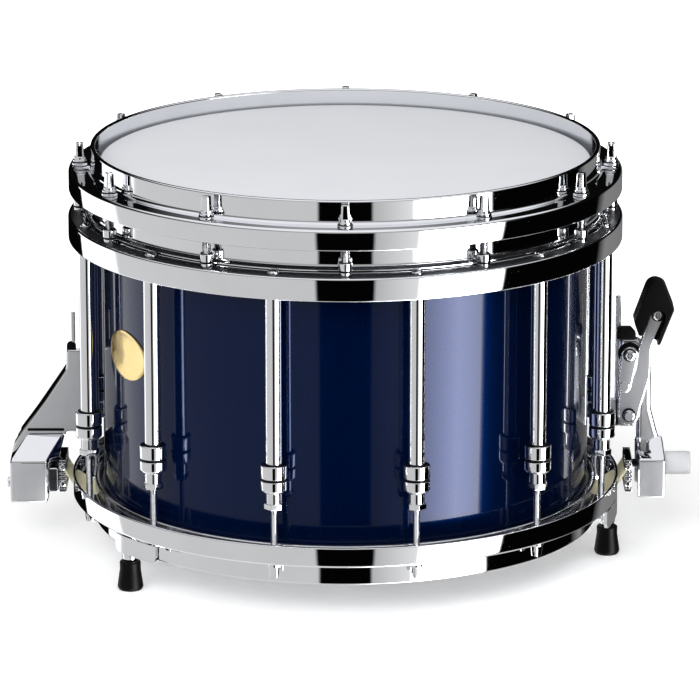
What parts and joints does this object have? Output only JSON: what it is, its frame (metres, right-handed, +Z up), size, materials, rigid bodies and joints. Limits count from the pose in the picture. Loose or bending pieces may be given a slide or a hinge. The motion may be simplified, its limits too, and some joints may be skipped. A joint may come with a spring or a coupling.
{
  "type": "marching snare drum",
  "caption": "Marching snare drum: lacquered shell between two heads, chrome hoops and frame ring, tube lugs, rubber feet, and a throw-off that drops the strands.",
  "frame": {"origin": "centre of the batter head's playing face", "axes": "+Z up out of the batter head, -Y towards the front of the picture, +X towards the throw-off, which is also the longest extent; Z is the shortest"},
  "size_m": [0.5001, 0.4019, 0.3006],
  "materials": {
    "chrome": "polished chrome plate",
    "alloy_hoop": "plain rolled alloy",
    "satin_alloy": "light grey satin plate",
    "blue_lacquer": "deep metallic blue gloss lacquer on ply",
    "white_film": "coated white film",
    "black_rubber": "matt",
    "gold_plate": "polished",
    "gut": "cream synthetic gut",
    "pale_plastic": "white gloss"
  },
  "bodies": {
    "drum": {"shell": "blue_lacquer", "badge": "gold_plate", "batter_head": "white_film", "batter_flesh_hoop": "alloy_hoop", "batter_hoop": "chrome", "snare_head": "white_film", "snare_flesh_hoop": "alloy_hoop", "snare_hoop": "chrome", "frame_ring": "chrome", "tube_lug_01": "chrome", "tube_lug_02": "chrome", "tube_lug_03": "chrome", "tube_lug_04": "chrome", "tube_lug_05": "chrome", "tube_lug_06": "chrome", "tube_lug_07": "chrome", "tube_lug_08": "chrome", "tube_lug_09": "chrome", "tube_lug_10": "chrome", "tube_lug_11": "chrome", "tube_lug_12": "chrome", "foot_bracket_1": "chrome", "foot_bracket_2": "chrome", "foot_bracket_3": "chrome", "rubber_foot_1": "black_rubber", "rubber_foot_2": "black_rubber", "rubber_foot_3": "black_rubber", "strainer_bracket": "satin_alloy", "butt_bracket": "satin_alloy", "butt_clamp": "chrome"},
    "batter_rod_01": {"batter_rod_01": "chrome"},
    "batter_rod_02": {"batter_rod_02": "chrome"},
    "batter_rod_03": {"batter_rod_03": "chrome"},
    "batter_rod_04": {"batter_rod_04": "chrome"},
    "batter_rod_05": {"batter_rod_05": "chrome"},
    "batter_rod_06": {"batter_rod_06": "chrome"},
    "batter_rod_07": {"batter_rod_07": "chrome"},
    "batter_rod_08": {"batter_rod_08": "chrome"},
    "batter_rod_09": {"batter_rod_09": "chrome"},
    "batter_rod_10": {"batter_rod_10": "chrome"},
    "batter_rod_11": {"batter_rod_11": "chrome"},
    "batter_rod_12": {"batter_rod_12": "chrome"},
    "snare_rod_01": {"snare_rod_01": "chrome"},
    "snare_rod_02": {"snare_rod_02": "chrome"},
    "snare_rod_03": {"snare_rod_03": "chrome"},
    "snare_rod_04": {"snare_rod_04": "chrome"},
    "snare_rod_05": {"snare_rod_05": "chrome"},
    "snare_rod_06": {"snare_rod_06": "chrome"},
    "snare_rod_07": {"snare_rod_07": "chrome"},
    "snare_rod_08": {"snare_rod_08": "chrome"},
    "snare_rod_09": {"snare_rod_09": "chrome"},
    "snare_rod_10": {"snare_rod_10": "chrome"},
    "snare_rod_11": {"snare_rod_11": "chrome"},
    "snare_rod_12": {"snare_rod_12": "chrome"},
    "lever": {"throw_lever": "satin_alloy", "lever_grip": "black_rubber"},
    "carriage": {"strainer_carriage": "satin_alloy"},
    "link": {"lever_link": "satin_alloy"},
    "knob": {"tension_knob": "pale_plastic"},
    "strands": {"snare_strands": "gut"}
  },
  "joints": [
    {"name": "batter_rod_01_turn", "type": "hinge", "parent": "drum", "child": "batter_rod_01", "pos_m": [0, -0.192, -0.0057], "axis": [0, 0, 1], "continuous": true},
    {"name": "batter_rod_02_turn", "type": "hinge", "parent": "drum", "child": "batter_rod_02", "pos_m": [0.096, -0.16628, -0.0057], "axis": [0, 0, 1], "continuous": true},
    {"name": "batter_rod_03_turn", "type": "hinge", "parent": "drum", "child": "batter_rod_03", "pos_m": [0.16628, -0.096, -0.0057], "axis": [0, 0, 1], "continuous": true},
    {"name": "batter_rod_04_turn", "type": "hinge", "parent": "drum", "child": "batter_rod_04", "pos_m": [0.192, 0, -0.0057], "axis": [0, 0, 1], "continuous": true},
    {"name": "batter_rod_05_turn", "type": "hinge", "parent": "drum", "child": "batter_rod_05", "pos_m": [0.16628, 0.096, -0.0057], "axis": [0, 0, 1], "continuous": true},
    {"name": "batter_rod_06_turn", "type": "hinge", "parent": "drum", "child": "batter_rod_06", "pos_m": [0.096, 0.16628, -0.0057], "axis": [0, 0, 1], "continuous": true},
    {"name": "batter_rod_07_turn", "type": "hinge", "parent": "drum", "child": "batter_rod_07", "pos_m": [0, 0.192, -0.0057], "axis": [0, 0, 1], "continuous": true},
    {"name": "batter_rod_08_turn", "type": "hinge", "parent": "drum", "child": "batter_rod_08", "pos_m": [-0.096, 0.16628, -0.0057], "axis": [0, 0, 1], "continuous": true},
    {"name": "batter_rod_09_turn", "type": "hinge", "parent": "drum", "child": "batter_rod_09", "pos_m": [-0.16628, 0.096, -0.0057], "axis": [0, 0, 1], "continuous": true},
    {"name": "batter_rod_10_turn", "type": "hinge", "parent": "drum", "child": "batter_rod_10", "pos_m": [-0.192, 0, -0.0057], "axis": [0, 0, 1], "continuous": true},
    {"name": "batter_rod_11_turn", "type": "hinge", "parent": "drum", "child": "batter_rod_11", "pos_m": [-0.16628, -0.096, -0.0057], "axis": [0, 0, 1], "continuous": true},
    {"name": "batter_rod_12_turn", "type": "hinge", "parent": "drum", "child": "batter_rod_12", "pos_m": [-0.096, -0.16628, -0.0057], "axis": [0, 0, 1], "continuous": true},
    {"name": "snare_rod_01_turn", "type": "hinge", "parent": "drum", "child": "snare_rod_01", "pos_m": [0.04969, -0.18546, -0.2483], "axis": [0, 0, 1], "continuous": true},
    {"name": "snare_rod_02_turn", "type": "hinge", "parent": "drum", "child": "snare_rod_02", "pos_m": [0.13576, -0.13576, -0.2483], "axis": [0, 0, 1], "continuous": true},
    {"name": "snare_rod_03_turn", "type": "hinge", "parent": "drum", "child": "snare_rod_03", "pos_m": [0.18546, -0.04969, -0.2483], "axis": [0, 0, 1], "continuous": true},
    {"name": "snare_rod_04_turn", "type": "hinge", "parent": "drum", "child": "snare_rod_04", "pos_m": [0.18546, 0.04969, -0.2483], "axis": [0, 0, 1], "continuous": true},
    {"name": "snare_rod_05_turn", "type": "hinge", "parent": "drum", "child": "snare_rod_05", "pos_m": [0.13576, 0.13576, -0.2483], "axis": [0, 0, 1], "continuous": true},
    {"name": "snare_rod_06_turn", "type": "hinge", "parent": "drum", "child": "snare_rod_06", "pos_m": [0.04969, 0.18546, -0.2483], "axis": [0, 0, 1], "continuous": true},
    {"name": "snare_rod_07_turn", "type": "hinge", "parent": "drum", "child": "snare_rod_07", "pos_m": [-0.04969, 0.18546, -0.2483], "axis": [0, 0, 1], "continuous": true},
    {"name": "snare_rod_08_turn", "type": "hinge", "parent": "drum", "child": "snare_rod_08", "pos_m": [-0.13576, 0.13576, -0.2483], "axis": [0, 0, 1], "continuous": true},
    {"name": "snare_rod_09_turn", "type": "hinge", "parent": "drum", "child": "snare_rod_09", "pos_m": [-0.18546, 0.04969, -0.2483], "axis": [0, 0, 1], "continuous": true},
    {"name": "snare_rod_10_turn", "type": "hinge", "parent": "drum", "child": "snare_rod_10", "pos_m": [-0.18546, -0.04969, -0.2483], "axis": [0, 0, 1], "continuous": true},
    {"name": "snare_rod_11_turn", "type": "hinge", "parent": "drum", "child": "snare_rod_11", "pos_m": [-0.13576, -0.13576, -0.2483], "axis": [0, 0, 1], "continuous": true},
    {"name": "snare_rod_12_turn", "type": "hinge", "parent": "drum", "child": "snare_rod_12", "pos_m": [-0.04969, -0.18546, -0.2483], "axis": [0, 0, 1], "continuous": true},
    {"name": "lever_throw", "type": "hinge", "parent": "drum", "child": "lever", "pos_m": [0.2072, -0.00305, -0.192], "axis": [0, 1, 0], "range_deg": [0, 45]},
    {"name": "carriage_slide", "type": "slide", "parent": "drum", "child": "carriage", "axis": [0, 0, -1], "range_m": [0, 0.0071]},
    {"name": "link_swing", "type": "hinge", "parent": "carriage", "child": "link", "pos_m": [0.2072, -0.0056, -0.1464], "axis": [0, 1, 0], "range_deg": [-41.2, 0]},
    {"name": "strand_swing", "type": "hinge", "parent": "drum", "child": "strands", "pos_m": [-0.2065, 0, -0.236], "axis": [0, 1, 0], "range_deg": [0, 1]},
    {"name": "knob_turn", "type": "hinge", "parent": "carriage", "child": "knob", "pos_m": [0.2338, 0, -0.2298], "axis": [1, 0, 0], "continuous": true}
  ],
  "couplings": [
    {"joint": "carriage_slide", "follows": "lever_throw", "m_per_rad": 0.00895},
    {"joint": "link_swing", "follows": "lever_throw", "ratio": -0.91},
    {"joint": "strand_swing", "follows": "lever_throw", "ratio": 0.0217}
  ]
}
